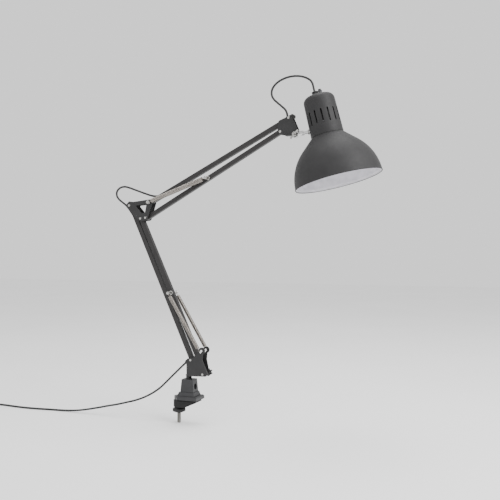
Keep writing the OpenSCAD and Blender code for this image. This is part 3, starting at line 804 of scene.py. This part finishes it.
def make_wing_nut():
    """A turned hub with two wings that lean outward."""
    bore = 0.00208
    low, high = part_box("wing_nut")
    y0, y1 = low.y + 0.0025, high.y
    origin = Vector((tilt.x, 0, tilt.z))
    bm = bmesh.new()
    add_lathe(bm, [(bore, y1), (0.0044, y1), (0.0046, y1 - 0.0004), (0.0040, y0 + 0.0008),
                   (0.0032, y0), (bore, y0)], origin, ACROSS, 36)
    outline = [(0.0026, -0.0011), (0.0060, -0.0011), (0.0085, -0.0022), (0.0108, -0.0020),
               (0.0119, 0), (0.0108, 0.0020), (0.0085, 0.0022), (0.0060, 0.0015),
               (0.0026, 0.0015)]
    for degrees in (-125, 35):
        a = math.radians(degrees)
        out = Vector((math.cos(a), 0, math.sin(a)))
        side = Vector((-out.z, 0, out.x))

        def place(x, y, h):
            lean = -0.0016 * max(0, x - 0.004) / 0.008
            return origin + out * x + side * y + ACROSS * (y0 + 0.0014 + lean + h)

        add_plate(bm, outline, place, 0.0017)
    piece = round_edges(mesh_object("tilt_wing_nut", bm), 0.0004, 3, 30)
    finish(piece, zinc, "wing_nut", ["wing_nut"])


make_wing_nut()

# ---- the shade ----

bulb_mount = next(m for m in frame["record"]["mounts"] if m["name"] == "bulb_socket")
shade_foot = Vector(bulb_mount["pos_m"]) - 0.130 * shade_up
MOUTH_R = 0.085
NECK_R = 0.032
DOME_ARC = 0.095
DOME_TOP = 0.0915
NECK_TOP = DOME_TOP + 0.080
WALL = 0.001


def on_neck(node):
    """The point of the neck's flat top that is under a node."""
    return shade_foot + (middle_of(node) - shade_foot).project(shade_side) + NECK_TOP * shade_up


def dome_profile(inset):
    """The dome's section, a wide arc and a straight slope, moved inward by inset."""
    arc = DOME_ARC - inset
    points = []
    for k in range(24):
        a = math.radians(46 * k / 23)
        points.append((MOUTH_R - DOME_ARC + arc * math.cos(a), arc * math.sin(a)))
    shoulder = (NECK_R - 0.0004 - inset, DOME_TOP - inset * 0.2)
    last = points[-1]
    for k in range(1, 7):
        t = k / 6
        points.append(tuple(a + (b - a) * t for a, b in zip(last, shoulder)))
    return points


def make_dome():
    """The spun shade: a dark outer skin with a rolled lip, and a white inner skin."""
    outer = dome_profile(0)
    inner = dome_profile(0.0006)
    lip = [(MOUTH_R - 0.0006, 0.0004), (MOUTH_R - 0.0004, -0.0001), (MOUTH_R, -0.0001),
           (MOUTH_R + 0.0004, 0.0004), (MOUTH_R + 0.0005, 0.0012), (MOUTH_R + 0.0002, 0.0020)]
    profile = lip + outer[1:] + list(reversed(inner[2:]))
    skin = lathe("shade_skin", profile, shade_foot, shade_up, 128)
    finish(skin, shade_coat, "shade", ["shade_dome"])
    inside = dome_profile(0.00062)
    backing = dome_profile(WALL)
    profile = [(MOUTH_R - 0.0012, 0.0006)] + inside[2:] + list(reversed(backing[2:]))
    liner = lathe("shade_lining", profile, shade_foot, shade_up, 128)
    finish(liner, enamel, "shade")


make_dome()


def make_lampholder():
    """A black skirted holder with a metal screw shell and its contact."""
    low = 0.118
    top = 0.163
    rings = [(0.0134, low), (0.0182, low), (0.0190, low + 0.0008), (0.0190, low + 0.0040),
             (0.0184, low + 0.0046), (0.0184, low + 0.0070), (0.0190, low + 0.0076),
             (0.0190, low + 0.0225), (0.0182, low + 0.0240), (0.0140, low + 0.0318),
             (0.0139, low + 0.0330), (0.0137, top), (0.0060, top), (0.0060, low + 0.0300),
             (0.0134, low + 0.0290)]

    def ribs(a, h):
        if low + 0.008 < h < low + 0.022:
            return -0.0005 * (0.5 + 0.5 * math.cos(24 * a))
        return 0

    holder = lathe("lampholder_body", rings, shade_foot, shade_up, 96, ribs)
    finish(holder, black_plastic, "shade", ["lampholder"])
    bm = bmesh.new()
    x = shade_up.orthogonal().normalized()
    y = shade_up.cross(x)
    shell = []
    turns = 6
    per_turn = 30
    crest_r = 0.01295
    pitch = 0.0036
    for k in range(turns * per_turn):
        turn = k / per_turn
        a = 2 * math.pi * turn
        shell.append(shade_foot + shade_up * (low + 0.004 + pitch * turn)
                     + crest_r * (math.cos(a) * x + math.sin(a) * y))
    add_sweep(bm, shell, 0.0006, 8)
    add_lathe(bm, [(0.01325, low + 0.002), (0.01339, low + 0.002), (0.01339, low + 0.0288),
                   (0.01325, low + 0.0288)], shade_foot, shade_up, 64)
    add_lathe(bm, [(0, low + 0.0255), (0.0030, low + 0.0258), (0.0042, low + 0.0268),
                   (0.0042, low + 0.0289), (0, low + 0.0289)], shade_foot, shade_up, 32)
    finish(mesh_object("lampholder_shell", bm), zinc, "shade")


make_lampholder()


def make_gland():
    """The ribbed nut that the cord goes through on the neck's top."""
    bore = 0.00215
    profile = [(bore, 0), (0.0060, 0), (0.0064, 0.0005), (0.0064, 0.0018), (0.0059, 0.0022),
               (0.0059, 0.0076), (0.0062, 0.0080), (0.0062, 0.0088), (0.0054, 0.0094),
               (0.0036, 0.0099), (0.0030, 0.0104), (bore, 0.0105)]

    def grips(a, h):
        return -0.0005 * (0.5 + 0.5 * math.cos(10 * a)) if 0.0020 < h < 0.0078 else 0

    piece = lathe("cord_gland_nut", profile, on_neck("cord_gland"), shade_up, 80, grips)
    finish(piece, black_plastic, "shade", ["cord_gland"])


def make_switch():
    """The push switch on the neck's top: a ridged collar and its button."""
    foot = on_neck("switch_button")
    bore = 0.0032
    ring = [(bore, -0.0035), (0.0039, -0.0035), (0.0039, 0), (0.0043, 0), (0.0044, 0.0003),
            (0.0044, 0.0016), (0.0041, 0.0020), (0.0041, 0.0074), (0.0044, 0.0078),
            (0.0043, 0.0083), (0.0040, 0.0086), (bore, 0.0086)]

    def ridges(a, h):
        return -0.0003 * (0.5 + 0.5 * math.cos(18 * a)) if 0.0018 < h < 0.0076 else 0

    housing = lathe("switch_collar", ring, foot, shade_up, 90, ridges)
    finish(housing, grey_plastic, "shade", ["switch_housing"])
    button = [(0, -0.0009), (0.0030, -0.0009), (0.0030, 0.0108), (0.0028, 0.0114), (0.0018, 0.0118),
              (0, 0.0117)]
    piece = lathe("switch_push_button", button, foot, shade_up, 48)
    finish(piece, black_plastic, "switch", ["switch_button"])


make_gland()
make_switch()

# ---- the frame's own parts that stay ----

KEPT = {
    "clamp_upper_jaw": (cast_coat, 0.0008),
    # The lower jaw's near-black coat is painted shade.
    "clamp_lower_jaw": (cast_coat_in_painted_shade, 0.0007),
    "mounting_pin": (coat, 0.0003),
    "base_bracket": (coat, 0.0003),
    "base_spacers": (black_plastic, 0.0002),
    "base_tension_knob": (black_plastic, 0.0005),
    "cord_grip": (black_plastic, 0.0003),
    "lower_main_bar": (bar_coat, 0.0006),
    "lower_follower_bar": (bar_coat, 0.0006),
    "upper_lower_bar": (bar_coat, 0.0006),
    "upper_top_bar": (bar_coat, 0.0006),
    "elbow_plate_near": (coat, 0.0003),
    "elbow_plate_far": (coat, 0.0003),
    "elbow_spacers": (black_plastic, 0.0002),
    "head_bracket": (coat, 0.0003),
    "head_spacers": (black_plastic, 0.0002),
    "tilt_bolt": (zinc, 0.0003),
    "tilt_washer": (zinc, 0.0001),
    "head_knuckle": (chrome, 0.0005),
    "shade_rod": (chrome, 0.0003),
    "shade_rod_nuts": (zinc, 0.0003),
    "shade_neck": (shade_coat, 0.0002),
    "holder_nipple": (zinc, 0.0001),
    "plug_pins": (pin_metal, 0.0003),
}


def dress_frame():
    """Gives each kept part its material and eases its edges."""
    for name, (material, edge) in KEPT.items():
        node = frame["nodes"][name]
        node.data.materials.clear()
        node.data.materials.append(material)
        round_edges(node, edge)


dress_frame()

# ---- stage and light ----


def make_stage():
    """A wide pale floor under the clamp's rod."""
    bm = bmesh.new()
    size = 6
    corners = [(-size, -size), (size, -size), (size, size), (-size, size)]
    bm.faces.new([bm.verts.new((x, y, floor_z - 0.0002)) for x, y in corners])
    floor = mesh_object("floor", bm, False)
    m = Nodes("pale floor")
    m.put("Base Color", m.ramp(m.noise(2, 2), [(0.3, (0.93, 0.93, 0.93)),
                                               (0.7, (0.96, 0.96, 0.96))]))
    m.put("Roughness", 0.9)
    floor.data.materials.append(m.material)


def area_light(name, place, aim, size, power):
    data = bpy.data.lights.new(name, "AREA")
    data.shape = "DISK"
    data.size = size
    data.energy = power
    light = bpy.data.objects.new(name, data)
    light.location = place
    light.rotation_euler = (Vector(aim) - Vector(place)).to_track_quat("-Z", "Y").to_euler()
    bpy.context.scene.collection.objects.link(light)


def make_light():
    """Even light all round, and three soft lamps."""
    world = bpy.data.worlds.new("studio")
    world.use_nodes = True
    world.node_tree.nodes["Background"].inputs["Color"].default_value = (1, 1, 1, 1)
    world.node_tree.nodes["Background"].inputs["Strength"].default_value = 1.15
    bpy.context.scene.world = world
    area_light("key", (1.7, -0.5, 1.5), (0.1, 0, 0.3), 1.3, 40)
    area_light("fill", (-1.2, -1.6, 0.9), (0, 0, 0.3), 1.4, 4)
    area_light("top", (0.2, 0.3, 2.2), (0.1, 0, 0.3), 1.2, 22)


make_stage()
make_light()
